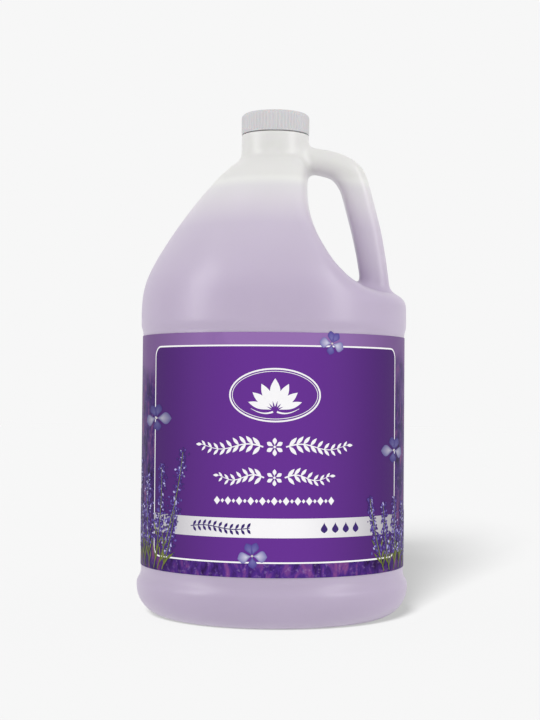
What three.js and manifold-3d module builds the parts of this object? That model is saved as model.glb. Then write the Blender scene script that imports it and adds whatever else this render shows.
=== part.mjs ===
import * as THREE from 'three';
import { mergeVertices } from 'three/addons/utils/BufferGeometryUtils.js';
import Module from 'manifold-3d';

// One-gallon blow-moulded handle jug with a ribbed screw cap, a wrap label and its lotion.
// Millimetres, +Z up. The origin is the centre of the base, and the handle stands towards +X.

// Jug, from the base up
const wall = 1;
const panelRadius = 75.9;
const pushUp = 5;
const baseRingWidth = 4.3;
const baseCornerRadius = 17;
const lowerBumperProud = 2.4;
const lowerBumperBand = 1;
const lowerBumperSlope = 8;
const panelHeight = 135;
const upperBumperProud = 1.1;
const upperBumperSlope = 6;
const upperBumperBand = 5;
const shoulderHeight = 98;
const collarProud = 2.4;
const collarHeight = 8;

// Neck finish and its thread
const boreRadius = 15.3;
const finishWall = 2;
const finishHeight = 10.6;
const threadPitch = 4.2333;
const threadTurns = 1;
const threadDepth = 1.1;
const threadBase = 2.3;
const threadCrest = 1;
const threadSink = 0.4;
const threadStart = 3.2;

// Handle
const handleWidth = 15.6;
const handleThickness = 24;
const handleEdge = 6.5;

// Cap and liner
const rimGap = 0.8;
const capRadialClearance = 0.25;
const threadTipClearance = 0.35;
const capWall = 0.8;
const capTop = 1.2;
const capEdge = 2.6;
const capRim = 1;
const ribCount = 60;
const ribDepth = 0.45;
const ribRoot = 0.05;
const linerThickness = 1;
const linerRadialClearance = 0.65;
const linerGap = 0.1;

// Label and lotion
const labelGap = 0.1;
const labelFilm = 0.2;
const labelBottomMargin = 3;
const labelTopMargin = 1;
const labelSeam = 11;
const headspace = 22;
const lotionGap = 0.3;

// How finely the round shapes are faceted
const bodySegments = 40;
const neckSegments = 36;
const handleSteps = 18;

// Heights and radii that follow from the sizes above
const lowerBumperRadius = panelRadius + lowerBumperProud;
const upperBumperRadius = panelRadius + upperBumperProud;
const lowerBumperTop = baseCornerRadius + lowerBumperBand;
const panelBottom = lowerBumperTop + lowerBumperSlope;
const panelTop = panelBottom + panelHeight;
const shoulderBottom = panelTop + upperBumperSlope + upperBumperBand;
const collarBottom = shoulderBottom + shoulderHeight;
const collarTop = collarBottom + collarHeight;
const landHeight = collarTop + finishHeight;
const fillHeight = collarBottom - headspace;
const finishRadius = boreRadius + finishWall;
const collarRadius = finishRadius + collarProud;
const threadRadius = finishRadius + threadDepth;
const capBore = threadRadius + capRadialClearance;
const capRadius = capBore + capWall;
const capRimHeight = collarTop + rimGap;
const linerHeight = landHeight + linerGap;
const capUnderside = linerHeight + linerThickness + linerGap - capRimHeight;
const capHeight = capUnderside + capTop;

const wasm = await Module();
wasm.setup();

// Turns a closed geometry into a solid that can be cut and joined.
function solid( geometry ) {

	const bare = geometry.clone();
	bare.deleteAttribute( 'normal' );
	bare.deleteAttribute( 'uv' );
	const merged = mergeVertices( bare, 1e-4 );
	const corners = merged.index.array;
	const triangles = [];

	for ( let i = 0; i < corners.length; i += 3 ) {

		const [ a, b, c ] = corners.subarray( i, i + 3 );
		if ( a !== b && b !== c && c !== a ) triangles.push( a, b, c );

	}

	return new wasm.Manifold( new wasm.Mesh( {
		numProp: 3,
		vertProperties: Float32Array.from( merged.attributes.position.array ),
		triVerts: Uint32Array.from( triangles )
	} ) );

}

// Turns a solid back into a named mesh with its own material.
function part( name, shape, material, height = 0 ) {

	const { vertProperties, triVerts } = shape.getMesh();
	const geometry = new THREE.BufferGeometry();
	geometry.setAttribute( 'position', new THREE.BufferAttribute( vertProperties, 3 ) );
	geometry.setIndex( new THREE.BufferAttribute( triVerts, 1 ) );
	geometry.computeVertexNormals();
	const mesh = new THREE.Mesh( geometry, new THREE.MeshStandardMaterial( material ) );
	mesh.name = name;
	mesh.position.z = height;
	return mesh;

}

// Spins a profile of radii and heights round Z.
function spin( profile, segments ) {

	const geometry = new THREE.LatheGeometry( profile, segments );
	geometry.rotateX( Math.PI / 2 );
	return solid( geometry );

}

function disc( radius, bottom, top, segments = neckSegments ) {

	return spin( [
		new THREE.Vector2( 0, bottom ),
		new THREE.Vector2( radius, bottom ),
		new THREE.Vector2( radius, top ),
		new THREE.Vector2( 0, top )
	], segments );

}

// Extrudes an outline drawn in X and Z by an equal length each way along Y.
function slab( outline, length ) {

	const shape = new THREE.Shape( outline );
	const geometry = new THREE.ExtrudeGeometry( shape, { depth: length, bevelEnabled: false } );
	geometry.rotateX( Math.PI / 2 );
	geometry.translate( 0, length / 2, 0 );
	return solid( geometry );

}

// Moves a polyline to the left of its direction of travel, with mitred corners.
function offset( points, distance, closed ) {

	const last = points.length - 1;

	return points.map( ( point, i ) => {

		const before = points[ i > 0 ? i - 1 : closed ? last : 0 ];
		const after = points[ i < last ? i + 1 : closed ? 0 : last ];
		const arriving = point.clone().sub( before ).normalize();
		const leaving = after.clone().sub( point ).normalize();
		if ( arriving.lengthSq() === 0 ) arriving.copy( leaving );
		if ( leaving.lengthSq() === 0 ) leaving.copy( arriving );
		const along = arriving.clone().add( leaving ).normalize();
		const reach = distance / along.dot( leaving );
		return new THREE.Vector2( point.x - along.y * reach, point.y + along.x * reach );

	} );

}

// A place on the shoulder. Across is 0 at the collar and 1 at the bumper.
// Up is 0 at the bumper and 1 at the collar.
function onShoulder( across, up ) {

	return new THREE.Vector2(
		collarRadius + across * ( upperBumperRadius - collarRadius ),
		shoulderBottom + up * shoulderHeight
	);

}

function curveTo( path, first, second, end ) {

	path.bezierCurveTo( first.x, first.y, second.x, second.y, end.x, end.y );

}

// The outside of the round body, from the middle of the base to the middle of the collar's top.
function bodyProfile() {

	const ringOuter = lowerBumperRadius - baseCornerRadius;
	const ringInner = ringOuter - baseRingWidth;
	const ringShoulder = ringInner - pushUp;
	const base = new THREE.Path();
	base.moveTo( 0, pushUp );
	base.quadraticCurveTo( ringShoulder, pushUp, ringInner, 0 );
	base.lineTo( ringOuter, 0 );
	base.absarc( ringOuter, baseCornerRadius, baseCornerRadius, - Math.PI / 2, 0 );

	const shoulder = new THREE.Path();
	shoulder.moveTo( upperBumperRadius, shoulderBottom );
	curveTo( shoulder, onShoulder( 1, 0.13 ), onShoulder( 0.973, 0.196 ), onShoulder( 0.88, 0.3 ) );
	curveTo( shoulder, onShoulder( 0.737, 0.461 ), onShoulder( 0.328, 0.806 ), onShoulder( 0.064, 0.915 ) );
	curveTo( shoulder, onShoulder( 0.03, 0.93 ), onShoulder( 0, 0.939 ), onShoulder( 0, 1 ) );

	return [
		...base.getPoints( 3 ),
		new THREE.Vector2( lowerBumperRadius, lowerBumperTop ),
		new THREE.Vector2( panelRadius + lowerBumperProud / 2, lowerBumperTop + lowerBumperSlope * 0.6 ),
		new THREE.Vector2( panelRadius, panelBottom ),
		new THREE.Vector2( panelRadius, panelTop ),
		new THREE.Vector2( upperBumperRadius, panelTop + upperBumperSlope ),
		...shoulder.getPoints( 3 ),
		new THREE.Vector2( collarRadius, collarTop ),
		new THREE.Vector2( 0, collarTop )
	];

}

// The finger pocket: a wall that falls from beside the collar, a rounded foot and a nearly level ledge.
function pocketOutline() {

	const pocket = new THREE.Path();
	const outside = 1.4;
	const top = onShoulder( - 0.007, 0.98 );
	const ledgeEnd = onShoulder( outside, 0.06 );
	pocket.moveTo( top.x, top.y );
	const wallTop = onShoulder( - 0.007, 0.755 );
	pocket.lineTo( wallTop.x, wallTop.y );
	curveTo( pocket, onShoulder( - 0.007, 0.551 ), onShoulder( 0.182, 0.384 ), onShoulder( 0.363, 0.235 ) );
	curveTo( pocket, onShoulder( 0.4, 0.2 ), onShoulder( 0.43, 0.192 ), onShoulder( 0.5, 0.184 ) );
	pocket.lineTo( ledgeEnd.x, ledgeEnd.y );
	pocket.lineTo( ledgeEnd.x, top.y );
	return pocket.getPoints( 4 );

}

// The middle of the handle, from inside the neck, round the corner and down into the shoulder.
function handlePath() {

	const route = [
		onShoulder( - 0.24, 0.935 ),
		onShoulder( 0.145, 0.93 ),
		onShoulder( 0.345, 0.885 ),
		onShoulder( 0.47, 0.77 ),
		onShoulder( 0.57, 0.565 ),
		onShoulder( 0.63, 0.42 ),
		onShoulder( 0.675, 0.26 ),
		onShoulder( 0.71, 0.08 ),
		onShoulder( 0.72, - 0.08 )
	];
	return new THREE.CatmullRomCurve3( route.map( ( place ) => new THREE.Vector3( place.x, 0, place.y ) ) );

}

function roundedRectangle( width, height, radius ) {

	const shape = new THREE.Shape();
	const x = width / 2 - radius;
	const y = height / 2 - radius;
	shape.absarc( x, y, radius, 0, Math.PI / 2 );
	shape.absarc( - x, y, radius, Math.PI / 2, Math.PI );
	shape.absarc( - x, - y, radius, Math.PI, Math.PI * 1.5 );
	shape.absarc( x, - y, radius, Math.PI * 1.5, Math.PI * 2 );
	return shape;

}

// Keeps a profile's two ends on the axis.
function onAxisEnds( point, i, profile ) {

	if ( i === 0 || i === profile.length - 1 ) point.x = 0;
	return point;

}

// The jug as a full block, with every outer surface moved in by inset.
function jugBlock( inset ) {

	const body = spin( offset( bodyProfile(), inset, false ).map( onAxisEnds ), bodySegments );
	const pocket = slab( offset( pocketOutline(), - inset, true ), 3 * lowerBumperRadius );
	const section = roundedRectangle( handleThickness - 2 * inset, handleWidth - 2 * inset, handleEdge - inset );
	const handle = new THREE.ExtrudeGeometry( section, {
		extrudePath: handlePath(),
		steps: handleSteps,
		curveSegments: 2
	} );
	return body.subtract( pocket ).add( solid( handle ) );

}

// A thread ridge of one start. It fades into the wall at both ends, and a crest inside the root cuts inwards.
function threadRidge( root, crest, startHeight, startAngle ) {

	const stepsPerTurn = 30;
	const fade = 0.07;
	const sunk = root + Math.sign( root - crest ) * threadSink;
	const tucked = ( root + sunk ) / 2;
	const section = new THREE.Shape( [
		new THREE.Vector2( sunk, - threadBase / 2 ),
		new THREE.Vector2( root, - threadBase / 2 ),
		new THREE.Vector2( crest, - threadCrest / 2 ),
		new THREE.Vector2( crest, threadCrest / 2 ),
		new THREE.Vector2( root, threadBase / 2 ),
		new THREE.Vector2( sunk, threadBase / 2 )
	] );
	const ridge = new THREE.ExtrudeGeometry( section, {
		depth: 1,
		steps: Math.ceil( stepsPerTurn * threadTurns ),
		bevelEnabled: false
	} );
	const corners = ridge.attributes.position;

	for ( let i = 0; i < corners.count; i ++ ) {

		const along = 1 - corners.getZ( i );
		const rise = Math.min( 1, along / fade, ( 1 - along ) / fade );
		const isCrest = Math.abs( corners.getX( i ) - crest ) < 1e-3;
		const radius = isCrest ? tucked + ( crest - tucked ) * rise : corners.getX( i );
		const angle = startAngle + along * threadTurns * 2 * Math.PI;
		const height = startHeight + along * threadTurns * threadPitch + corners.getY( i );
		corners.setXYZ( i, radius * Math.cos( angle ), radius * Math.sin( angle ), height );

	}

	return solid( ridge );

}

function jug() {

	const finish = disc( finishRadius, collarTop - finishWall, landHeight );
	const thread = threadRidge( finishRadius, threadRadius, collarTop + threadStart, 0 );
	const bore = disc( boreRadius, collarTop - 2 * wall, landHeight + wall );
	return jugBlock( 0 ).add( finish ).add( thread ).subtract( jugBlock( wall ) ).subtract( bore );

}

// The lotion fills the jug up to a level surface.
function lotion() {

	const reach = 2 * lowerBumperRadius;
	const above = disc( reach, fillHeight, landHeight, 4 );
	return jugBlock( wall + lotionGap ).subtract( above );

}

// The printed film wraps the label panel and leaves a seam at the back.
function label() {

	const inner = panelRadius + labelGap;
	const outer = inner + labelFilm;
	const bottom = panelBottom + labelBottomMargin;
	const top = panelTop - labelTopMargin;
	const film = spin( [
		new THREE.Vector2( inner, bottom ),
		new THREE.Vector2( outer, bottom ),
		new THREE.Vector2( outer, top ),
		new THREE.Vector2( inner, top ),
		new THREE.Vector2( inner, bottom )
	], bodySegments );
	const seam = new THREE.BoxGeometry( labelSeam, outer, 2 * top );
	seam.translate( 0, outer, 0 );
	return film.subtract( solid( seam ) );

}

// The outside of the cap at a given radius: a rounded top edge above a straight side.
function capProfile( radius, bottom ) {

	const outline = new THREE.Path();
	outline.moveTo( 0, bottom );
	outline.lineTo( radius, bottom );
	outline.absarc( radius - capEdge, capHeight - capEdge, capEdge, 0, Math.PI / 2 );
	outline.lineTo( 0, capHeight );
	return outline.getPoints( 2 );

}

// A ring of grip ribs, each a shallow ridge.
function capRibs() {

	const outline = [];

	for ( let i = 0; i < 2 * ribCount; i ++ ) {

		const angle = i * Math.PI / ribCount;
		const radius = i % 2 ? capRadius + ribDepth : capRadius;
		outline.push( new THREE.Vector2( radius * Math.cos( angle ), radius * Math.sin( angle ) ) );

	}

	const shape = new THREE.Shape( outline );
	const ribs = new THREE.ExtrudeGeometry( shape, { depth: capHeight, bevelEnabled: false } );
	return solid( ribs ).intersect( spin( capProfile( capRadius + ribDepth, capRim ), neckSegments ) );

}

// The cap is drawn from its rim up, and stands on the jug's neck at the height of that rim.
function cap() {

	const shell = spin( capProfile( capRadius - ribRoot, 0 ), neckSegments );
	const hollow = disc( capBore, - capTop, capUnderside );
	const threadHeight = collarTop + threadStart - capRimHeight;
	const halfTurn = Math.PI;
	const thread = threadRidge( capBore, finishRadius + threadTipClearance, threadHeight, halfTurn );
	return shell.add( capRibs() ).subtract( hollow ).add( thread );

}

function liner() {

	return disc( capBore - linerRadialClearance, 0, linerThickness );

}

const whitePlastic = { color: 0xdcdcdc, roughness: 0.45, metalness: 0 };
const frostedPlastic = { color: 0xe4e2e6, roughness: 0.4, metalness: 0, transparent: true, opacity: 0.5 };
const foam = { color: 0xf1f1ee, roughness: 0.8, metalness: 0 };
const film = { color: 0x5b3b94, roughness: 0.35, metalness: 0 };
const cream = { color: 0xc6b8d2, roughness: 0.3, metalness: 0 };

const group = new THREE.Group();
group.add( part( 'jug_body', jug(), frostedPlastic ) );
group.add( part( 'lotion', lotion(), cream ) );
group.add( part( 'label', label(), film ) );
group.add( part( 'cap_liner', liner(), foam, linerHeight ) );
group.add( part( 'screw_cap', cap(), whitePlastic, capRimHeight ) );

export default group;
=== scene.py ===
import random
from collections import namedtuple
from math import asin, cos, pi, radians, sin, tau

import bmesh
import bpy
import numpy as np
from bpy.props import FloatProperty, FloatVectorProperty, IntProperty, PointerProperty
from mathutils import Matrix, Vector


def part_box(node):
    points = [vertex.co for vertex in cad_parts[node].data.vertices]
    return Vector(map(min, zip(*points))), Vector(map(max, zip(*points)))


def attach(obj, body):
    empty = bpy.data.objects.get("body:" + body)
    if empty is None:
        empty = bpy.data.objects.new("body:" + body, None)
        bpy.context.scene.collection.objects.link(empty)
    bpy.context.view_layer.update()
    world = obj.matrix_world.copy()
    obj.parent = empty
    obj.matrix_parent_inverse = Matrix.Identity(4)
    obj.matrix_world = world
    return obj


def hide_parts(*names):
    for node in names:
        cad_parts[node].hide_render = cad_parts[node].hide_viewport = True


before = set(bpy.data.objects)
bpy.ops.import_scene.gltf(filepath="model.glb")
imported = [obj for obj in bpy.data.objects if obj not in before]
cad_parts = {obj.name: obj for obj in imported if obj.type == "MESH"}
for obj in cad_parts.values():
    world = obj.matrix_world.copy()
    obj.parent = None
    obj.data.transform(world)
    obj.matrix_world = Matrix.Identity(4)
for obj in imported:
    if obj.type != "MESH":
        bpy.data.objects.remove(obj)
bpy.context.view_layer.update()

bl_info = {
    "name": "Handle jug with screw cap",
    "version": (1, 0, 0),
    "blender": (4, 5, 0),
    "location": "3D Viewport > Sidebar > Handle Jug",
    "description": "Builds a translucent gallon jug with its cap, liner, lotion, label and studio",
    "category": "Add Mesh",
}

MM = 0.001
JUG_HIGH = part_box("jug_body")[1]
LOTION_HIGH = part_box("lotion")[1]
CAP_LOW, CAP_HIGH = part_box("screw_cap")
LINER_LOW, LINER_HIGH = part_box("cap_liner")
LABEL_LOW, LABEL_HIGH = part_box("label")


# Settings that a user can change


def length(name, description, default):
    return FloatProperty(name=name, description=description, default=default, unit="LENGTH", precision=4)


def turn(name, description, degrees):
    return FloatProperty(name=name, description=description, default=radians(degrees), unit="ROTATION")


def number(name, description, default):
    return FloatProperty(name=name, description=description, default=default)


def colour(name, description, default):
    return FloatVectorProperty(
        name=name, description=description, default=default, subtype="COLOR", min=0, max=1
    )


class JugSizes(bpy.types.PropertyGroup):
    """Sizes of the blow-moulded jug"""

    bumper: length("Bumper radius", "Radius of the lower bumper", JUG_HIGH.x)
    panel: length("Panel radius", "Radius of the label panel", LABEL_HIGH.x - 0.3 * MM)
    upper_bumper: length("Upper bumper radius", "Radius of the bumper above the label", 77 * MM)
    corner: length("Base corner", "Radius between the side and the base", 17 * MM)
    ring: length("Standing ring", "Width of the flat ring that the jug stands on", 4.3 * MM)
    push_up: length("Push-up", "Height of the raised middle of the base", 5 * MM)
    shoulder: length("Shoulder start", "Height where the shoulder starts to close", 172 * MM)
    collar_low: length("Collar foot", "Height where the shoulder meets the collar", 270 * MM)
    collar_high: length("Collar top", "Height of the collar's top", CAP_LOW.z - 0.45 * MM)
    collar: length("Collar radius", "Radius of the neck's collar", 19.7 * MM)
    land: length("Land height", "Height of the neck's sealing land", JUG_HIGH.z)
    root: length("Thread root", "Radius at the root of the neck's thread", 17.3 * MM)
    bore: length("Bore", "Radius of the neck's bore", 15.3 * MM)
    pitch: length("Thread pitch", "Rise of the thread in one turn", 4.2333 * MM)
    thread_depth: length("Thread depth", "How far the thread stands out", 1.1 * MM)
    thread_start: length("Thread start", "Height of the thread's start above the collar", 2.85 * MM)
    wall: length("Wall", "Thickness of the moulded wall", 1 * MM)
    handle_width: length("Handle width", "Width of the handle seen from the front", 16 * MM)
    handle_depth: length("Handle depth", "Thickness of the handle from front to back", 24 * MM)
    handle_edge: length("Handle edge", "Radius of the handle's long edges", 7.2 * MM)
    blend: length("Handle blend", "Size of the fillets where the handle joins", 6 * MM)
    pocket_rim: length("Pocket rim", "Size of the round where the pocket meets the shoulder", 7 * MM)
    pocket_foot: length("Pocket foot", "Size of the fillet at the foot of the pocket", 15 * MM)
    pocket_draft: number("Pocket draft", "Slope of the pocket towards the mould's halves", 0.085)
    voxel: length("Skin step", "Spacing of the skin on the shoulder and handle", 1.8 * MM)


class CapSizes(bpy.types.PropertyGroup):
    """Sizes of the ribbed cap"""

    bore: length("Cap bore", "Radius inside the cap's skirt", 18.65 * MM)
    valley: length("Valley radius", "Radius between the grip ribs", 19.42 * MM)
    rib: length("Rib height", "How far the ribs stand out", 0.42 * MM)
    edge: length("Top edge", "Radius of the rounded top edge", 2.6 * MM)
    rim: length("Plain rim", "Height of the plain rim under the ribs", 1 * MM)
    top: length("Top wall", "Thickness of the cap's top", 1.2 * MM)
    ribs: IntProperty(name="Ribs", description="Number of grip ribs", default=60, min=12)
    thread_tip: length("Thread tip", "Radius inside the cap's thread", 17.65 * MM)


class LabelSizes(bpy.types.PropertyGroup):
    """Sizes of the printed label"""

    film: length("Film", "Thickness of the film", 0.2 * MM)
    seam: length("Seam", "Gap between the film's ends at the back", 11 * MM)
    panel_width: length("Panel width", "Width of the framed panel, round the jug", 164 * MM)
    panel_shift: length("Panel shift", "How far the panel's middle lies to the handle's side", 2.6 * MM)
    panel_low: length("Panel foot", "Height of the frame's lower line", 36.6 * MM)
    panel_high: length("Panel top", "Height of the frame's upper line", 153.2 * MM)
    panel_corner: length("Panel corner", "Radius of the frame's corners", 6 * MM)
    line: length("Frame line", "Width of the frame's line", 0.85 * MM)
    band_low: length("Band foot", "Height of the pale band's lower edge", 50.2 * MM)
    band_high: length("Band top", "Height of the pale band's upper edge", 60.6 * MM)


class Finishes(bpy.types.PropertyGroup):
    """Colours of the materials"""

    # The foot colour is darker than the filled wall above it: painted shade at the base of the jug.
    foot: colour("Foot wall", "Filled wall at the base", (0.45, 0.375, 0.515))
    filled: colour("Filled wall", "Wall with lotion behind it", (0.505, 0.425, 0.575))
    half_filled: colour("Half-filled wall", "Wall where less lotion shows", (0.575, 0.505, 0.635))
    meniscus: colour("Upper wall", "Wall with a thin film of lotion behind it", (0.695, 0.645, 0.72))
    level: colour("Level wall", "Wall just under the lotion's level", (0.735, 0.705, 0.75))
    film_line: colour("Level line", "Line where the lotion's level meets the wall", (0.83, 0.82, 0.815))
    empty: colour("Empty wall", "Wall with air behind it", (0.78, 0.765, 0.76))
    cap: colour("Cap", "Cap plastic", (0.60, 0.59, 0.605))
    liner: colour("Liner", "Liner foam", (0.86, 0.86, 0.84))
    lotion: colour("Lotion", "Lotion", (0.52, 0.42, 0.60))
    panel: colour("Panel ink", "Ink of the framed panel", (0.14, 0.034, 0.295))
    # The panel's edge colour darkens the violet towards the sides of the jug: painted shade.
    panel_edge_painted_shade: colour("Panel edge ink", "Ink at the sides of the framed panel", (0.066, 0.02, 0.14))
    paper: colour("White ink", "White ink", (0.95, 0.94, 0.955))
    # The band's edge colour greys the white band towards its ends: painted shade.
    band_edge_painted_shade: colour("Band edge ink", "Ink at the ends of the pale band", (0.40, 0.38, 0.42))
    indigo: colour("Indigo ink", "Ink of the marks on the band", (0.05, 0.025, 0.16))
    sky: colour("Sky ink", "Soft lilac above the printed field", (0.30, 0.16, 0.425))
    field_dark: colour("Field shade", "Darkest tone of the printed field", (0.03, 0.009, 0.07))
    field_blue: colour("Field violet", "Middle tone of the printed field", (0.08, 0.027, 0.24))
    field_pink: colour("Field pink", "Warm streaks in the printed field", (0.30, 0.085, 0.27))
    field_light: colour("Field light", "Pale flecks in the printed field", (0.32, 0.2, 0.46))


class Studio(bpy.types.PropertyGroup):
    """Camera and light"""

    distance: length("Camera distance", "Distance from the jug's axis to the camera", 876 * MM)
    height: length("Camera height", "Height of the camera above the floor", 123.65 * MM)
    lens: number("Lens", "Focal length in millimetres", 75)
    tilt: turn("Tilt", "How far the camera looks up", 1.53)
    roll: turn("Roll", "Roll of the camera", 0.48)
    yaw: turn("Yaw", "Turn of the camera to the left", 0.136)
    background: colour("Background", "Colour all round the studio", (0.93, 0.93, 0.93))
    shadow: number("Shadow light", "Strength of the light that casts the floor shadow", 54)
    softbox: number("Softboxes", "Power of the side softboxes in watts", 10)
    fill: number("Fill", "Strength of the soft lights", 0.25)


# Outlines and meshes


def bezier(start, first, second, end, count):
    """Points on a cubic curve, without its start."""
    t = np.linspace(0, 1, count + 1)[1:, None]
    start, first, second, end = (np.array(p, float) for p in (start, first, second, end))
    return (1 - t) ** 3 * start + 3 * (1 - t) ** 2 * t * first + 3 * (1 - t) * t**2 * second + t**3 * end


def arc(centre, radius, first, last, count):
    """Points on an arc, from the angle first to the angle last."""
    angles = np.linspace(first, last, count + 1)
    return [(centre[0] + radius * cos(a), centre[1] + radius * sin(a)) for a in angles]


def on_shoulder(jug, across, up):
    """A place on the shoulder. Across is 0 at the collar, up is 0 at the bumper, and both go to 1."""
    x = jug.collar + across * (jug.upper_bumper - jug.collar)
    return x, jug.shoulder + up * (jug.collar_low - jug.shoulder)


def shoulder_curve(jug, start, *spans):
    """A chain of curves in shoulder places. Each span is two handles, its end and its count of points."""
    points = [on_shoulder(jug, *start)]
    for first, second, end, count in spans:
        handles = (on_shoulder(jug, *place) for place in (first, second, end))
        points.extend(bezier(points[-1], *handles, count))
    return np.array(points)


def shoulder_outline(jug, count):
    return shoulder_curve(
        jug,
        (1, 0),
        ((1, 0.13), (0.973, 0.196), (0.88, 0.3), count),
        ((0.737, 0.461), (0.328, 0.806), (0.064, 0.915), 2 * count),
        ((0.03, 0.93), (0, 0.939), (0, 1), count),
    )


def lower_outline(jug, seam):
    """The outside of the jug from the middle of the base up to the seam height."""
    ring_outer = jug.bumper - jug.corner
    ring_inner = ring_outer - jug.ring
    band_top = jug.corner + 1 * MM
    panel_low = band_top + 8 * MM
    middle = (0, jug.push_up)
    dome_handles = (ring_inner * 0.6, jug.push_up), (ring_inner - 5 * MM, jug.push_up * 0.9)
    outline = [middle, *bezier(middle, *dome_handles, (ring_inner - 0.8 * MM, 0.35 * MM), 9)]
    outline += [(ring_inner, 0), (ring_outer, 0)]
    outline += arc((ring_outer, jug.corner), jug.corner, -pi / 2, 0, 11)[1:]
    bumper = (jug.bumper, band_top)
    slope_handles = (jug.bumper, band_top + 3.5 * MM), (jug.panel, panel_low - 4.5 * MM)
    outline += [bumper, *bezier(bumper, *slope_handles, (jug.panel, panel_low), 9)]
    return outline + [(jug.panel, z) for z in np.linspace(panel_low, seam, 9)[1:]]


def new_object(name, bm, smooth=True):
    """A named object from a bmesh. Its place is in its mesh."""
    mesh = bpy.data.meshes.new(name)
    bm.to_mesh(mesh)
    bm.free()
    mesh.polygons.foreach_set("use_smooth", [smooth] * len(mesh.polygons))
    obj = bpy.data.objects.new(name, mesh)
    bpy.context.scene.collection.objects.link(obj)
    return obj


def read_vertices(bm):
    return np.array([v.co for v in bm.verts], float)


def move_vertices(bm, places):
    for vert, place in zip(bm.verts, places):
        vert.co = place


def cut_plane(bm, place, normal, dist=1e-6, clear=False):
    """Cuts the mesh at a plane, and can clear what lies on the plane's outer side."""
    geom = bm.verts[:] + bm.edges[:] + bm.faces[:]
    bmesh.ops.bisect_plane(bm, geom=geom, dist=dist, plane_co=place, plane_no=normal, clear_outer=clear)


def spin_outline(bm, outline, steps, angle=tau, closed=False):
    """Spins an outline of radii and heights round Z, from the front of the jug."""
    verts = [bm.verts.new((0, -radius, height)) for radius, height in outline]
    pairs = list(zip(verts, verts[1:]))
    if closed:
        pairs.append((verts[-1], verts[0]))
    geom = verts + [bm.edges.new(pair) for pair in pairs]
    full = angle == tau
    bmesh.ops.spin(bm, geom=geom, cent=(0, 0, 0), axis=(0, 0, 1), angle=angle, steps=steps, use_merge=full)
    bmesh.ops.remove_doubles(bm, verts=bm.verts, dist=1e-6)


def outward(bm):
    """Turns the faces outwards. An open shell is closed for a moment, so that it has an inside."""
    rims = [e for e in bm.edges if e.is_boundary]
    lids = bmesh.ops.holes_fill(bm, edges=rims)["faces"] if rims else []
    bmesh.ops.recalc_face_normals(bm, faces=bm.faces)
    if lids:
        bmesh.ops.delete(bm, geom=lids, context="FACES_ONLY")


def add_modifier(obj, kind, **settings):
    modifier = obj.modifiers.new(kind.lower(), kind)
    for name, value in settings.items():
        setattr(modifier, name, value)


def apply_modifiers(obj):
    graph = bpy.context.evaluated_depsgraph_get()
    mesh = bpy.data.meshes.new_from_object(obj.evaluated_get(graph))
    obj.modifiers.clear()
    old = obj.data
    obj.data = mesh
    bpy.data.meshes.remove(old)


def finish_piece(obj, material, body, slot, *nodes):
    obj.data.materials.clear()
    obj.data.materials.append(material)
    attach(obj, body)
    if nodes:
        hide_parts(*nodes)


# The jug's shoulder, pocket and handle as one smooth form


# Where the handle's middle line runs, as shoulder places, and its width there as a share of the set width.
HANDLE_ROUTE = (
    (-0.26, 0.94, 0.86), (0.0, 0.937, 0.86), (0.145, 0.925, 0.87), (0.262, 0.908, 0.9),
    (0.355, 0.878, 0.99), (0.422, 0.838, 1.05), (0.472, 0.775, 1.03), (0.535, 0.64, 1.02),
    (0.597, 0.497, 1.02), (0.644, 0.355, 1.0), (0.674, 0.235, 1.0), (0.694, 0.11, 1.0),
    (0.70, -0.04, 1.0),
)


def smooth_min(a, b, size):
    near = np.clip(size - np.abs(a - b), 0, None) / size
    return np.minimum(a, b) - near * near * size / 4


def smooth_max(a, b, size):
    return -smooth_min(-a, -b, size)


def smooth_path(points, count):
    """A smooth curve through the points."""
    fine = np.linspace(0, len(points) - 1, count)
    padded = np.vstack([2 * points[0] - points[1], points, 2 * points[-1] - points[-2]])
    i = np.clip(np.floor(fine).astype(int), 0, len(points) - 2)
    t = (fine - i)[:, None]
    a, b, c, d = (padded[i + k] for k in range(4))
    return 0.5 * (2 * b + (c - a) * t + (2 * a - 5 * b + 4 * c - d) * t**2 + (3 * b - a - 3 * c + d) * t**3)


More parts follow.
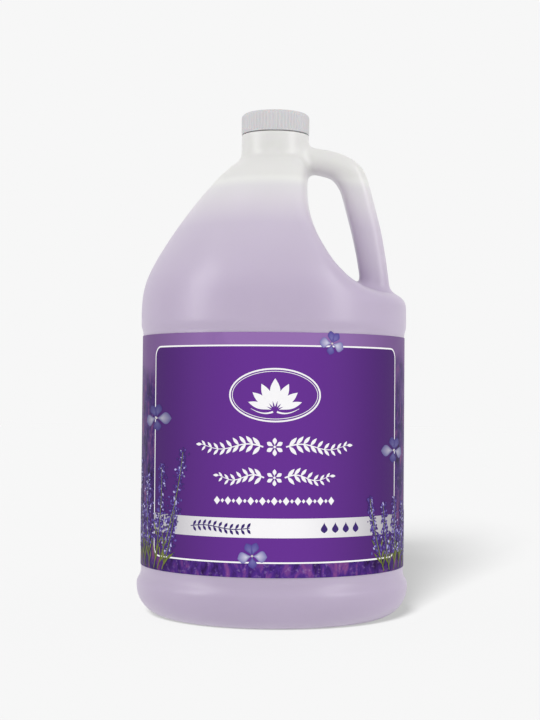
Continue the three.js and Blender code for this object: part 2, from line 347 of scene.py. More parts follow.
class JugForm:
    """Signed distance to the jug's upper skin: a round shoulder, less a finger pocket, plus a handle."""

    ledge_slope = 0.17

    def __init__(self, jug):
        self.jug = jug
        foot = (jug.panel, jug.shoulder - 11 * MM)
        handles = (jug.panel, jug.shoulder - 8.5 * MM), (jug.upper_bumper, jug.shoulder - 8 * MM)
        rise = bezier(foot, *handles, (jug.upper_bumper, jug.shoulder - 4.5 * MM), 12)
        neck = [(jug.collar, jug.land)]
        outline = np.vstack([[(jug.panel, 0), foot], rise, shoulder_outline(jug, 24), neck])
        self.heights = np.linspace(0, jug.land, 1200)
        self.radii = np.interp(self.heights, outline[:, 1], outline[:, 0])
        self.slopes = np.gradient(self.radii, self.heights)
        self.wall = shoulder_curve(
            jug,
            (0.5, 0.1),
            ((0.45, 0.155), (0.40, 0.195), (0.363, 0.235), 12),
            ((0.182, 0.384), (-0.012, 0.56), (-0.012, 0.755), 30),
            ((-0.012, 0.85), (-0.012, 0.9), (0.004, 0.945), 12),
            ((0.014, 0.97), (0.04, 1), (0.09, 1.06), 8),
        )
        self.wall_slope = np.gradient(self.wall[:, 0], self.wall[:, 1])
        self.ledge_start = on_shoulder(jug, 0.4, 0.188)
        half = jug.handle_width / 2
        route = [(*on_shoulder(jug, across, up), share * half) for across, up, share in HANDLE_ROUTE]
        self.path = smooth_path(np.array(route), 110)

    def body(self, p):
        """Negative inside the round body."""
        radius = np.hypot(p[:, 0], p[:, 1])
        slope = np.interp(p[:, 2], self.heights, self.slopes)
        return (radius - np.interp(p[:, 2], self.heights, self.radii)) / np.sqrt(1 + slope**2)

    def pocket(self, p):
        """Negative inside the finger pocket."""
        draft = self.jug.pocket_draft
        crown = 6 * MM
        side = np.sqrt(p[:, 1] ** 2 + crown**2) - crown
        slope = np.interp(p[:, 2], self.wall[:, 1], self.wall_slope)
        wall = np.interp(p[:, 2], self.wall[:, 1], self.wall[:, 0]) - draft * side - p[:, 0]
        wall = wall / np.sqrt(1 + slope**2 + draft**2)
        start_x, start_z = self.ledge_start
        ledge = start_z - self.ledge_slope * (p[:, 0] - start_x) - draft * side - p[:, 2]
        return smooth_max(wall, ledge / np.sqrt(1 + self.ledge_slope**2 + draft**2), self.jug.pocket_foot)

    def handle(self, p):
        """Negative inside the handle. Places on the jug's far side count as far away."""
        jug = self.jug
        result = np.full(len(p), 50 * MM)
        near = p[:, 0] > -15 * MM
        q = p[near]
        best = np.full(len(q), 1e9)
        half = np.full(len(q), jug.handle_width / 2)
        for a, b in zip(self.path, self.path[1:]):
            along = b[:2] - a[:2]
            t = np.clip(((q[:, 0] - a[0]) * along[0] + (q[:, 2] - a[1]) * along[1]) / (along @ along), 0, 1)
            gap = np.hypot(q[:, 0] - a[0] - t * along[0], q[:, 2] - a[1] - t * along[1])
            closer = gap < best
            best = np.where(closer, gap, best)
            half = np.where(closer, a[2] + t * (b[2] - a[2]), half)
        edge = np.minimum(jug.handle_edge, half - 0.3 * MM)
        u = best - half + edge
        v = np.abs(q[:, 1]) - jug.handle_depth / 2 + edge
        outside = np.hypot(np.maximum(u, 0), np.maximum(v, 0))
        result[near] = outside + np.minimum(np.maximum(u, v), 0) - edge
        return result

    def carved(self, p):
        return smooth_max(self.body(p), -self.pocket(p), self.jug.pocket_rim)

    def __call__(self, p):
        return smooth_min(self.carved(p), self.handle(p), self.jug.blend)

    def settle(self, p, rounds):
        """Moves points onto the skin along its gradient."""
        step = 0.2 * MM
        for _ in range(rounds):
            value = self(p)
            slopes = [(self(p + step * axis) - self(p - step * axis)) / (2 * step) for axis in np.eye(3)]
            gradient = np.stack(slopes, axis=1)
            squared = np.maximum((gradient**2).sum(1), 0.05)
            move = np.clip(value / squared, -3 * MM, 3 * MM)
            p = p - gradient * move[:, None]
        return p


def rough_pocket(jug, form, high):
    """A block that cuts the finger pocket out of the shoulder."""
    reach = 1.3 * jug.bumper
    start_x, start_z = form.ledge_start
    wall = form.wall[(form.wall[:, 1] < high - 4 * MM) & (form.wall[:, 1] > start_z)]
    end_z = start_z - form.ledge_slope * (reach - start_x)
    bm = bmesh.new()
    outline = [(reach, end_z), (reach, wall[-1, 1]), *wall[::-1], form.ledge_start]
    face = bm.faces.new([bm.verts.new((x, -reach, z)) for x, z in outline])
    extruded = bmesh.ops.extrude_face_region(bm, geom=[face])["geom"]
    verts = [g for g in extruded if isinstance(g, bmesh.types.BMVert)]
    bmesh.ops.translate(bm, verts=verts, vec=(0, 2 * reach, 0))
    outward(bm)
    return new_object("rough_pocket", bm)


def rough_handle(jug, form):
    """An oval bar along the handle's middle line, a little thinner than the handle."""
    bm = bmesh.new()
    wide, deep = jug.handle_width / 2 - 1 * MM, jug.handle_depth / 2 - 1 * MM
    ring = [(wide * cos(a), deep * sin(a)) for a in np.linspace(0, tau, 16, endpoint=False)]
    loops = []
    path = form.path[::3]
    for i, point in enumerate(path):
        ahead = path[min(i + 1, len(path) - 1)] - path[max(i - 1, 0)]
        across = Vector((ahead[1], 0, -ahead[0])).normalized()
        centre = Vector((point[0], 0, point[1]))
        verts = [bm.verts.new(centre + across * u + Vector((0, v, 0))) for u, v in ring]
        loops.append([bm.edges.new((verts[k], verts[k - 1])) for k in range(len(verts))])
    for one, other in zip(loops, loops[1:]):
        bmesh.ops.bridge_loops(bm, edges=one + other)
    bmesh.ops.holes_fill(bm, edges=bm.edges)
    outward(bm)
    return new_object("rough_handle", bm)


def rough_upper(jug, form, low, high):
    """A closed rough block of the shoulder, pocket and handle, remeshed into even quads."""
    heights = np.linspace(low, high, 60)
    radii = np.interp(heights, form.heights, form.radii)
    bm = bmesh.new()
    spin_outline(bm, [(0, low), *zip(radii, heights), (0, high)], 96)
    outward(bm)
    block = new_object("rough_block", bm)
    pocket = rough_pocket(jug, form, high)
    add_modifier(block, "BOOLEAN", operation="DIFFERENCE", solver="EXACT", object=pocket)
    apply_modifiers(block)
    handle = rough_handle(jug, form)
    add_modifier(block, "BOOLEAN", operation="UNION", solver="EXACT", object=handle)
    add_modifier(block, "REMESH", mode="VOXEL", voxel_size=jug.voxel)
    apply_modifiers(block)
    bm = bmesh.new()
    bm.from_mesh(block.data)
    for obj in (block, pocket, handle):
        bpy.data.objects.remove(obj)
    return bm


def rim_at(bm, height):
    """The open edges at a height."""
    rims = [e for e in bm.edges if e.is_boundary]
    return [e for e in rims if all(abs(v.co.z - height) < 0.02 * MM for v in e.verts)]


def round_rim(edges, radius, height):
    """Puts the ends of these edges on a level circle."""
    verts = {v for e in edges for v in e.verts}
    for vert in verts:
        flat = Vector((vert.co.x, vert.co.y, 0)).normalized() * radius
        vert.co = (flat.x, flat.y, height)
    return verts


def grow(bm, edges, outline):
    """Extrudes a round rim through the rings of an outline. A ring of no radius closes it."""
    for radius, height in outline:
        grown = bmesh.ops.extrude_edge_only(bm, edges=edges)["geom"]
        edges = [g for g in grown if isinstance(g, bmesh.types.BMEdge)]
        verts = round_rim(edges, radius, height)
    if radius == 0:
        bmesh.ops.pointmerge(bm, verts=list(verts), merge_co=(0, 0, height))


def upper_skin(jug, form, low, high):
    """The skin from the seam behind the label to the seam on the collar, open at both ends."""
    margin = 3 * jug.voxel
    all_axes = {"use_axis_x": True, "use_axis_y": True, "use_axis_z": True}
    bm = rough_upper(jug, form, low - margin, high + margin)
    for _ in range(5):
        inner = [v for v in bm.verts if low - margin / 2 <= v.co.z <= high + margin / 2]
        bmesh.ops.smooth_vert(bm, verts=inner, factor=0.5, **all_axes)
        places = read_vertices(bm)
        loose = (places[:, 2] >= low - margin / 2) & (places[:, 2] <= high + margin / 2)
        places[loose] = form.settle(places[loose], 2)
        move_vertices(bm, places)
    cut_plane(bm, (0, 0, low), (0, 0, -1), clear=True)
    cut_plane(bm, (0, 0, high), (0, 0, 1), clear=True)
    bmesh.ops.dissolve_degenerate(bm, dist=0.15 * MM, edges=bm.edges)
    round_rim(rim_at(bm, low), jug.panel, low)
    round_rim(rim_at(bm, high), jug.collar, high)
    return bm


def outer_skin(jug, form, low, high):
    """The jug's outer skin from the middle of the base to the seam on the collar."""
    bm = upper_skin(jug, form, low, high)
    bmesh.ops.subdivide_edges(bm, edges=rim_at(bm, high), cuts=1)
    round_rim(rim_at(bm, high), jug.collar, high)
    grow(bm, rim_at(bm, low), lower_outline(jug, low)[-2::-1])
    outward(bm)
    return bm


def thread_height(places, start_angle, jug):
    """How far one turn of thread stands out at each place."""
    base, crest, fade = 2.3 * MM, 1 * MM, 0.07
    start_height = jug.collar_high + jug.thread_start
    along = ((np.arctan2(places[:, 1], places[:, 0]) - start_angle) % tau) / tau
    ridge = np.abs(places[:, 2] - start_height - along * jug.pitch)
    share = np.clip((base / 2 - ridge) / ((base - crest) / 2), 0, 1)
    rise = np.clip(np.minimum(along, 1 - along) / fade, 0, 1)
    return jug.thread_depth * share * share * (3 - 2 * share) * rise


def push_out(places, wall, lowest, distance):
    """Moves the places of a round wall of this radius out, where they lie above the lowest height."""
    radius = np.hypot(places[:, 0], places[:, 1])
    on_wall = (np.abs(radius - wall) < 1e-5) & (places[:, 2] > lowest)
    places[:, :2] *= np.where(on_wall, 1 + distance / np.maximum(radius, MM), 1)[:, None]


def finish_outline(jug, inner_low):
    """The collar's top edge, the threaded finish, the land and the bore, down to the lining."""
    top = jug.collar_high
    outline = arc((jug.collar - 0.6 * MM, top - 0.6 * MM), 0.6 * MM, 0, pi / 2, 4)
    outline += arc((jug.root + 0.5 * MM, top + 0.5 * MM), 0.5 * MM, -pi / 2, -pi, 3)
    outline += [(jug.root, z) for z in np.arange(top + 0.8 * MM, jug.land - 0.7 * MM, 0.28 * MM)]
    outline += arc((jug.root - 0.5 * MM, jug.land - 0.5 * MM), 0.5 * MM, 0, pi / 2, 3)
    outline += arc((jug.bore + 0.4 * MM, jug.land - 0.4 * MM), 0.4 * MM, pi / 2, pi, 3)
    outline += [(jug.bore, z) for z in np.linspace(jug.land - 3 * MM, inner_low + 1.5 * MM, 4)]
    return outline + [(jug.bore + 0.5 * MM, inner_low + 0.5 * MM), (jug.collar - jug.wall, inner_low)]


def shrink(bm, distance):
    """Moves every vertex in along its normal."""
    bm.normal_update()
    move_vertices(bm, [v.co - v.normal * distance for v in bm.verts])


class JUG_OT_body(bpy.types.Operator):
    """Builds the one-piece jug with its hollow handle and threaded neck, and the lotion inside it"""

    bl_idname = "jug.body"
    bl_label = "Jug body"

    def execute(self, context):
        jug = context.scene.jug_sizes
        form = JugForm(jug)
        low = jug.shoulder - 22 * MM
        high = jug.collar_high - 0.8 * MM
        inner_low = high - jug.wall
        bm = outer_skin(jug, form, low, high)

        inner = bm.copy()
        shrink(inner, jug.wall)
        round_rim([e for e in inner.edges if e.is_boundary], jug.collar - jug.wall, inner_low)
        lining = bpy.data.meshes.new("lining")
        inner.to_mesh(lining)
        build_lotion(context, inner)

        grow(bm, rim_at(bm, high), finish_outline(jug, inner_low))
        places = read_vertices(bm)
        push_out(places, jug.root, jug.collar_high + 0.6 * MM, thread_height(places, 0, jug))
        move_vertices(bm, places)
        bm.from_mesh(lining)
        bpy.data.meshes.remove(lining)
        seam = [v for v in bm.verts if v.is_boundary]
        bmesh.ops.remove_doubles(bm, verts=seam, dist=0.3 * MM)
        outward(bm)
        body = new_object("jug_shell", bm)
        mark_thin_wall_and_painted_light(body, form)
        finish_piece(body, wall_material(context), "jug", "natural_hdpe", "jug_body")
        return {"FINISHED"}


def build_lotion(context, bm):
    """The lotion lies a little inside the lining and ends in a level surface."""
    shrink(bm, 0.25 * MM)
    cut_plane(bm, (0, 0, LOTION_HIGH.z), (0, 0, 1), clear=True)
    bmesh.ops.holes_fill(bm, edges=rim_at(bm, LOTION_HIGH.z))
    outward(bm)
    lotion = new_object("lotion_fill", bm)
    shading = {"Subsurface_Weight": 0.4, "Subsurface_Scale": 3 * MM}
    grain = MouldedGrain(4 * MM, 50 * MM, 0.05, (0.16, 0.26))
    material = moulded_material("lotion", context.scene.jug_finishes.lotion, 0.22, grain, **shading)
    finish_piece(lotion, material, "jug", "lotion", "lotion")


# Materials


class Nodes:
    """Adds nodes to a tree. An input is a value, or the output of another node."""

    def __init__(self, tree):
        self.tree = tree

    def set(self, node, **inputs):
        for name, value in inputs.items():
            self.feed(node.inputs[name.replace("_", " ")], value)

    def feed(self, socket, value):
        if isinstance(value, bpy.types.NodeSocket):
            self.tree.links.new(value, socket)
        else:
            socket.default_value = value

    def add(self, kind, settings=None, **inputs):
        node = self.tree.nodes.new(kind)
        for name, value in (settings or {}).items():
            setattr(node, name, value)
        self.set(node, **inputs)
        return node

    def place(self):
        return self.add("ShaderNodeTexCoord").outputs["Object"]

    def axes(self):
        return self.add("ShaderNodeSeparateXYZ", Vector=self.place()).outputs

    def math(self, operation, *values):
        node = self.add("ShaderNodeMath", {"operation": operation})
        for socket, value in zip(node.inputs, values):
            self.feed(socket, value)
        return node.outputs[0]

    def noise(self, place, scale, detail, **more):
        node = self.add("ShaderNodeTexNoise", Vector=place, Scale=scale, Detail=detail, **more)
        return node.outputs["Fac"]

    def between(self, value, low, high, first=0.0, last=1.0, kind="LINEAR"):
        """Takes the span from low to high on to the span from first to last."""
        node = self.add("ShaderNodeMapRange", {"interpolation_type": kind}, Value=value)
        self.set(node, From_Min=low, From_Max=high, To_Min=first, To_Max=last)
        return node.outputs["Result"]

    def mix(self, share, first, second):
        node = self.add("ShaderNodeMix", {"data_type": "RGBA"}, Factor=share, A=first, B=second)
        return node.outputs["Result"]

    def scaled(self, vector, share):
        node = self.add("ShaderNodeVectorMath", {"operation": "SCALE"}, Vector=vector, Scale=share)
        return node.outputs[0]

    def ramp(self, value, first, *stops):
        """A colour ramp through stops, each a position from 0 to 1 and a colour."""
        node = self.add("ShaderNodeValToRGB", Fac=value)
        elements = node.color_ramp.elements
        elements.remove(elements[1])
        elements[0].position = first[0]
        elements[0].color = (*first[1], 1)
        for position, shade in stops:
            elements.new(position).color = (*shade, 1)
        return node.outputs["Color"]

    def bump(self, height, strength, distance, **more):
        node = self.add("ShaderNodeBump", Height=height, Strength=strength, Distance=distance, **more)
        return node.outputs["Normal"]

    def front_angle(self, axes):
        """The angle round the jug from its front."""
        return self.math("ARCTAN2", axes["X"], self.math("MULTIPLY", axes["Y"], -1.0))


def new_material(name, base, roughness, **shading):
    """A material, its shader and its nodes. Shading holds more values of the shader."""
    material = bpy.data.materials.new(name)
    material.use_nodes = True
    nodes = Nodes(material.node_tree)
    shader = material.node_tree.nodes["Principled BSDF"]
    nodes.set(shader, Base_Color=(*base, 1), Roughness=roughness, **shading)
    return material, shader, nodes


def grain_group():
    """Fine moulded grain with a slow unevenness: a height for a bump, and a mask for gloss and colour."""
    name = "moulded_grain"
    if name in bpy.data.node_groups:
        return bpy.data.node_groups[name]
    group = bpy.data.node_groups.new(name, "ShaderNodeTree")
    face = group.interface
    for label, default in (("Grain Size", 1.2 * MM), ("Flow Size", 30 * MM)):
        face.new_socket(label, in_out="INPUT", socket_type="NodeSocketFloat").default_value = default
    for label in ("Height", "Flow"):
        face.new_socket(label, in_out="OUTPUT", socket_type="NodeSocketFloat")
    nodes = Nodes(group)
    sizes = nodes.add("NodeGroupInput").outputs
    place = nodes.place()
    fine = nodes.noise(place, nodes.math("DIVIDE", 1.0, sizes["Grain Size"]), 2.0)
    slow = nodes.noise(place, nodes.math("DIVIDE", 1.0, sizes["Flow Size"]), 1.0)
    nodes.add("NodeGroupOutput", Height=nodes.math("MULTIPLY_ADD", slow, 3.0, fine), Flow=slow)
    return group


# The size of a finish's grains and of its slow flow, its bump's strength and its two roughnesses.
MouldedGrain = namedtuple("MouldedGrain", "size flow strength roughness")


def add_grain(nodes, shader, grain):
    """Bump and uneven gloss from the moulded grain. Gives the slow mask and the bumped normal."""
    group = nodes.add("ShaderNodeGroup", {"node_tree": grain_group()})
    nodes.set(group, Grain_Size=grain.size, Flow_Size=grain.flow)
    slow = group.outputs["Flow"]
    normal = nodes.bump(group.outputs["Height"], grain.strength, 0.1 * MM)
    nodes.set(shader, Normal=normal, Roughness=nodes.between(slow, 0.3, 0.7, *grain.roughness))
    return slow, normal


def moulded_material(name, base, roughness, grain, **shading):
    material, shader, nodes = new_material(name, base, roughness, **shading)
    add_grain(nodes, shader, grain)
    return material


def wall_material(context):
    """Milky wall: violet where lotion lies behind it, fading to clear white above the lotion's level.
    Painted shade darkens it towards the base, and painted light lightens the handle's side that faces the
    jug.
    """
    finishes = context.scene.jug_finishes
    material, shader, nodes = new_material("natural_hdpe", finishes.filled, 0.34, Specular_IOR_Level=0.38)
    nodes.set(shader, Subsurface_Weight=0.35, Subsurface_Radius=(0.9, 0.8, 1.0), Subsurface_Scale=4 * MM)
    slow, grained = add_grain(nodes, shader, MouldedGrain(1.4 * MM, 35 * MM, 0.12, (0.3, 0.37)))
    axes = nodes.axes()
    # The handle's mask: thinner lotion behind the wall, plus painted light on the side that faces the jug.
    thin = nodes.add("ShaderNodeAttribute", {"attribute_name": "thin"}).outputs["Fac"]
    sunk = nodes.math("MULTIPLY_ADD", thin, -6 * MM, axes["Z"])
    level = LOTION_HIGH.z
    stops = (
        # Painted shade: the wall darkens towards the base.
        (0, finishes.foot),
        (LABEL_LOW.z + 12 * MM, finishes.filled),
        (level - 66 * MM, finishes.filled),
        (level - 27 * MM, finishes.half_filled),
        (level - 12 * MM, finishes.meniscus),
        (level - 4 * MM, finishes.level),
        (level + 0.6 * MM, finishes.film_line),
        (level + 3.5 * MM, finishes.empty),
    )
    height = nodes.between(sunk, 0.0, JUG_HIGH.z)
    by_height = nodes.ramp(height, *((z / JUG_HIGH.z, shade) for z, shade in stops))
    # The handle is lightened by its thinner lotion and by painted light on its side facing the jug.
    lighter = nodes.mix(nodes.math("MULTIPLY", thin, 0.36), by_height, (*finishes.empty, 1))
    clouded = nodes.scaled(lighter, nodes.between(slow, 0.3, 0.7, 0.985, 1.015))
    side = nodes.math("ABSOLUTE", axes["Y"])
    parting_line = nodes.between(side, 0.0, 0.5 * MM, 1.0, 0.0, "SMOOTHSTEP")
    normal = nodes.bump(parting_line, 0.5, 0.12 * MM, Normal=grained)
    nodes.set(shader, Base_Color=clouded, Normal=normal)
    return material


def mark_thin_wall_and_painted_light(obj, form):
    """Marks the handle, where less lotion lies behind the wall and more light comes through it, and adds
    painted light, most on the side that faces the jug, where its shade falls.
    """
    data = obj.data
    places, normals = np.empty((2, len(data.vertices) * 3))
    data.vertices.foreach_get("co", places)
    data.vertices.foreach_get("normal", normals)
    places, normals = places.reshape(-1, 3), normals.reshape(-1, 3)
    thin = np.clip((form.carved(places) - form.handle(places)) / (12 * MM), 0, 1)
    thin[places[:, 2] < form.jug.shoulder] = 0
    flat = places[:, :2] / np.maximum(np.hypot(places[:, 0], places[:, 1]), MM)[:, None]
    # Painted light: the side of the handle that faces the jug is lightened most, against the shade that
    # falls there.
    inward = -np.sum(normals[:, :2] * flat, axis=1)
    thin *= 0.4 + 0.6 * np.clip(inward, 0, 1)
    data.attributes.new("thin", "FLOAT", "POINT").data.foreach_set("value", thin)


def film_material(context):
    """The film's printed ground: a blurred field of lavender under a soft lilac sky, darkened with painted
    shade towards the sides of the jug.
    """
    finishes = context.scene.jug_finishes
    material, shader, nodes = new_material("printed_film", finishes.sky, 0.4, Specular_IOR_Level=0.03)
    axes = nodes.axes()
    angle = nodes.front_angle(axes)
    along = nodes.math("MULTIPLY", angle, LABEL_HIGH.x)
    flat = nodes.add("ShaderNodeCombineXYZ", X=along, Y=axes["Z"]).outputs[0]
    tall = nodes.add("ShaderNodeMapping", Vector=flat, Scale=(1.0, 0.4, 1.0)).outputs[0]
    streaks = nodes.noise(tall, 170.0, 4.0, Roughness=0.62, Distortion=0.4)
    stops = (0.33, finishes.field_dark), (0.5, finishes.field_blue), (0.72, finishes.field_pink)
    field = nodes.ramp(streaks, *stops)
    flecks = nodes.between(nodes.noise(flat, 380.0, 2.0), 0.58, 0.72, 0.0, 0.45)
    dotted = nodes.mix(flecks, field, (*finishes.field_light, 1))
    skyline = nodes.math("MULTIPLY_ADD", nodes.noise(flat, 45.0, 1.0), 0.05, axes["Z"])
    above = nodes.between(skyline, 0.150, 0.178, kind="SMOOTHSTEP")
    ground = nodes.mix(above, dotted, (*finishes.sky, 1))
    # Painted shade: the ground darkens away from the jug's front, as the film turns away from the light.
    shade = nodes.between(nodes.math("ABSOLUTE", angle), 0.25, 1.2, 1.0, 0.6, "SMOOTHSTEP")
    nodes.set(shader, Base_Color=nodes.scaled(ground, shade))
    return material


def ink_material(name, base, edge=None):
    """Printed ink. With an edge colour it darkens away from the front of the panel: painted shade, as the
    film turns away from the light.
    """
    material, shader, nodes = new_material(name, base, 0.42, Specular_IOR_Level=0.03)
    place = nodes.place()
    faded = [c * 0.94 for c in base]
    ink = nodes.mix(nodes.noise(place, 2500.0, 1.0), (*base, 1), (*faded, 1))
    if edge is not None:
        # Painted shade: the ink darkens away from the jug's front.
        off = nodes.math("ABSOLUTE", nodes.front_angle(nodes.axes()))
        ink = nodes.mix(nodes.between(off, 0.1, 1.15, kind="SMOOTHSTEP"), ink, (*edge, 1))
    nodes.set(shader, Base_Color=ink)
    return material


def flower_material():
    """Ink of the flowers, whose colours are painted on their corners."""
    material, shader, nodes = new_material("flower_inks", (0.3, 0.25, 0.5), 0.42, Specular_IOR_Level=0.03)
    ink = nodes.add("ShaderNodeAttribute", {"attribute_name": "ink"})
    nodes.set(shader, Base_Color=ink.outputs["Color"])
    return material


# Cap and liner


def cap_outline(cap):
    """From the middle of the cap's top, over the edge and the rim, to the middle of its underside."""
    top, rim = CAP_HIGH.z, CAP_LOW.z
    underside = top - cap.top
    band = cap.valley + cap.rib * 0.8
    outline = [(0, top - 0.3 * MM), (1.1 * MM, top - 0.3 * MM), (1.5 * MM, top - 0.08 * MM)]
    outline += [(2.1 * MM, top), (0.6 * (cap.valley - cap.edge), top)]
    outline += arc((cap.valley - cap.edge, top - cap.edge), cap.edge, pi / 2, 0, 9)
    outline += [(cap.valley, z) for z in np.linspace(top - cap.edge, rim + cap.rim + 0.12 * MM, 5)[1:]]
    outline += [(band, rim + cap.rim), (band, rim + 0.3 * MM), (band - 0.09 * MM, rim + 0.09 * MM)]
    outline += [(band - 0.3 * MM, rim), (cap.bore + 0.25 * MM, rim), (cap.bore, rim + 0.25 * MM)]
    outline += [(cap.bore, z) for z in np.arange(rim + 0.6 * MM, underside - 2.8 * MM, 0.3 * MM)]
    return outline + [(cap.bore, underside - 0.5 * MM), (cap.bore - 0.5 * MM, underside), (0, underside)]


def raise_ribs(places, cap):
    """The grip ribs stand out between the rounded top edge and the plain rim."""
    radius, height = np.hypot(places[:, 0], places[:, 1]), places[:, 2]
    wave = 0.5 + 0.5 * np.cos(cap.ribs * np.arctan2(places[:, 1], places[:, 0]))
    grown = np.clip((CAP_HIGH.z - height) / (1.5 * MM), 0, 1)
    in_skirt = (radius < cap.bore + 0.1 * MM) & (height < CAP_HIGH.z - cap.edge * 0.6)
    above_rim = height > CAP_LOW.z + cap.rim + 0.05 * MM
    outside = (radius > cap.valley - cap.edge - MM) & (radius > cap.bore - 3 * MM) & above_rim & ~in_skirt
    extra = np.where(outside, cap.rib * wave**0.6 * grown, 0)
    places[:, :2] *= (1 + extra / np.maximum(radius, MM))[:, None]


class JUG_OT_cap(bpy.types.Operator):
    """Builds the screw cap: a rounded edge, fine grip ribs, a plain rim and the thread inside its skirt"""

    bl_idname = "jug.cap"
    bl_label = "Screw cap"

    def execute(self, context):
        jug, cap, finishes = context.scene.jug_sizes, context.scene.cap_sizes, context.scene.jug_finishes
        bm = bmesh.new()
        spin_outline(bm, cap_outline(cap), 8 * cap.ribs)
        outward(bm)
        places = read_vertices(bm)
        raise_ribs(places, cap)
        depth = thread_height(places, pi, jug) * (cap.bore - cap.thread_tip) / jug.thread_depth
        push_out(places, cap.bore, CAP_LOW.z + 0.5 * MM, -depth)
        move_vertices(bm, places)
        shading = {"Subsurface_Weight": 0.15, "Subsurface_Scale": 1.5 * MM, "Specular_IOR_Level": 0.4}
        grain = MouldedGrain(0.6 * MM, 12 * MM, 0.1, (0.36, 0.46))
        plastic = moulded_material("white_cap", finishes.cap, 0.42, grain, **shading)
        finish_piece(new_object("ribbed_cap", bm), plastic, "cap", "white_cap", "screw_cap")
        return {"FINISHED"}


class JUG_OT_liner(bpy.types.Operator):
    """Builds the foam liner, with the ring that the neck's land presses into it"""

    bl_idname = "jug.liner"
    bl_label = "Liner"

    def execute(self, context):
        jug, finishes = context.scene.jug_sizes, context.scene.jug_finishes
        low, high, radius = LINER_LOW.z, LINER_HIGH.z, LINER_HIGH.x
        soft = 0.2 * MM
        pressed = low + 0.08 * MM
        outline = [(0, low), (jug.bore - soft, low), (jug.bore + soft, pressed), (jug.root - soft, pressed)]
        outline += [(jug.root + soft, low)]
        outline += arc((radius - soft, low + soft), soft, -pi / 2, 0, 3)
        outline += arc((radius - soft, high - soft), soft, 0, pi / 2, 3)
        outline += [(0, high)]
        bm = bmesh.new()
        spin_outline(bm, outline, 128)
        outward(bm)
        grain = MouldedGrain(0.3 * MM, 6 * MM, 0.35, (0.8, 0.92))
        foam = moulded_material("liner_foam", finishes.liner, 0.85, grain)
        finish_piece(new_object("foam_liner", bm), foam, "liner", "liner_foam", "cap_liner")
        return {"FINISHED"}


# Label and its print. A drawing is flat: X runs round the jug from the front, and Y is the height.

# The heights at which the print's layers start above the film, from the panel to the blossoms.
PANEL_LIFT = 0.02 * MM
LINE_LIFT = 0.05 * MM
WHITE_LIFT = 0.06 * MM
MARK_LIFT = 0.09 * MM
SPRIG_LIFT = 0.1 * MM
BLOSSOM_LIFT = 0.12 * MM
INK_THICKNESS = 0.02 * MM
# Shapes that cross in one layer lie this far apart, so that no two faces share a plane.
HAIR = 1e-7
# The emblem and garlands stand this far to the handle's side of the jug's front.
PRINT_MIDDLE = 1 * MM


def wrap(bm, lift):
    """Wraps a drawing round the label."""
    for vert in bm.verts:
        angle = vert.co.x / LABEL_HIGH.x
        radius = LABEL_HIGH.x + lift + vert.co.z
        vert.co = (radius * sin(angle), -radius * cos(angle), vert.co.y)


def cut_upright(bm):
    """Cuts a drawing into upright strips, so that it bends smoothly."""
    spacing = 2.2 * MM
    across = read_vertices(bm)[:, 0]
    for x in np.arange(across.min() + spacing, across.max(), spacing):
        cut_plane(bm, (x, 0, 0), (1, 0, 0), dist=1e-7)


def print_piece(name, bm, lift, material, cut=True):
    """A drawing as a very thin layer on the film."""
    if cut:
        cut_upright(bm)
    wrap(bm, lift)
    bmesh.ops.recalc_face_normals(bm, faces=bm.faces)
    for face in bm.faces:
        centre = face.calc_center_median()
        if face.normal.x * centre.x + face.normal.y * centre.y < 0:
            face.normal_flip()
    piece = new_object(name, bm, smooth=False)
    add_modifier(piece, "SOLIDIFY", thickness=INK_THICKNESS, offset=1)
    finish_piece(piece, material, "jug", "printed_film")


def rounded_box(x0, y0, x1, y1, radius):
    """The corners of an upright rounded rectangle, anticlockwise."""
    points = arc((x1 - radius, y1 - radius), radius, 0, pi / 2, 6)
    points += arc((x0 + radius, y1 - radius), radius, pi / 2, pi, 6)
    points += arc((x0 + radius, y0 + radius), radius, pi, 1.5 * pi, 6)
    return points + arc((x1 - radius, y0 + radius), radius, 1.5 * pi, tau, 6)


def plate(bm, outline, level=0.0):
    return bm.faces.new([bm.verts.new((x, y, level)) for x, y in outline])


def band_between(bm, outer, inner):
    """A flat ring between two outlines with as many points."""
    loops = []
    for outline in (outer, inner):
        verts = [bm.verts.new((x, y, 0)) for x, y in outline]
        loops += [bm.edges.new((verts[k - 1], verts[k])) for k in range(len(verts))]
    bmesh.ops.bridge_loops(bm, edges=loops)


def ahead_of(place, angle, distance):
    return place[0] + distance * cos(angle), place[1] + distance * sin(angle)


def oval(centre, width, height, count):
    turns = np.linspace(0, tau, count, endpoint=False)
    return [(centre[0] + width / 2 * cos(a), centre[1] + height / 2 * sin(a)) for a in turns]


def leaf(base, angle, size, width, point=0.5, count=7):
    """The outline of a leaf from its base, with its widest place at a share of its length."""
    t = np.linspace(0, 1, count)
    half = width / 2 * np.sin(pi * t ** (np.log(0.5) / np.log(point)))
    right = list(zip(t * size, -half))
    left = list(zip(t * size, half))[-2:0:-1]
    c, s = cos(angle), sin(angle)
    return [(base[0] + u * c - v * s, base[1] + u * s + v * c) for u, v in right + left]


def stroke(points, first, last):
    """The outline of a curved stroke whose width runs from the first to the last."""
    points = np.array(points, float)
    ahead = np.gradient(points, axis=0)
    ahead /= np.linalg.norm(ahead, axis=1)[:, None]
    widths = np.linspace(first, last, len(points)) * MM
    side = np.stack([-ahead[:, 1], ahead[:, 0]], axis=1) * (widths / 2)[:, None]
    return [*(points - side), *(points + side)[::-1]]


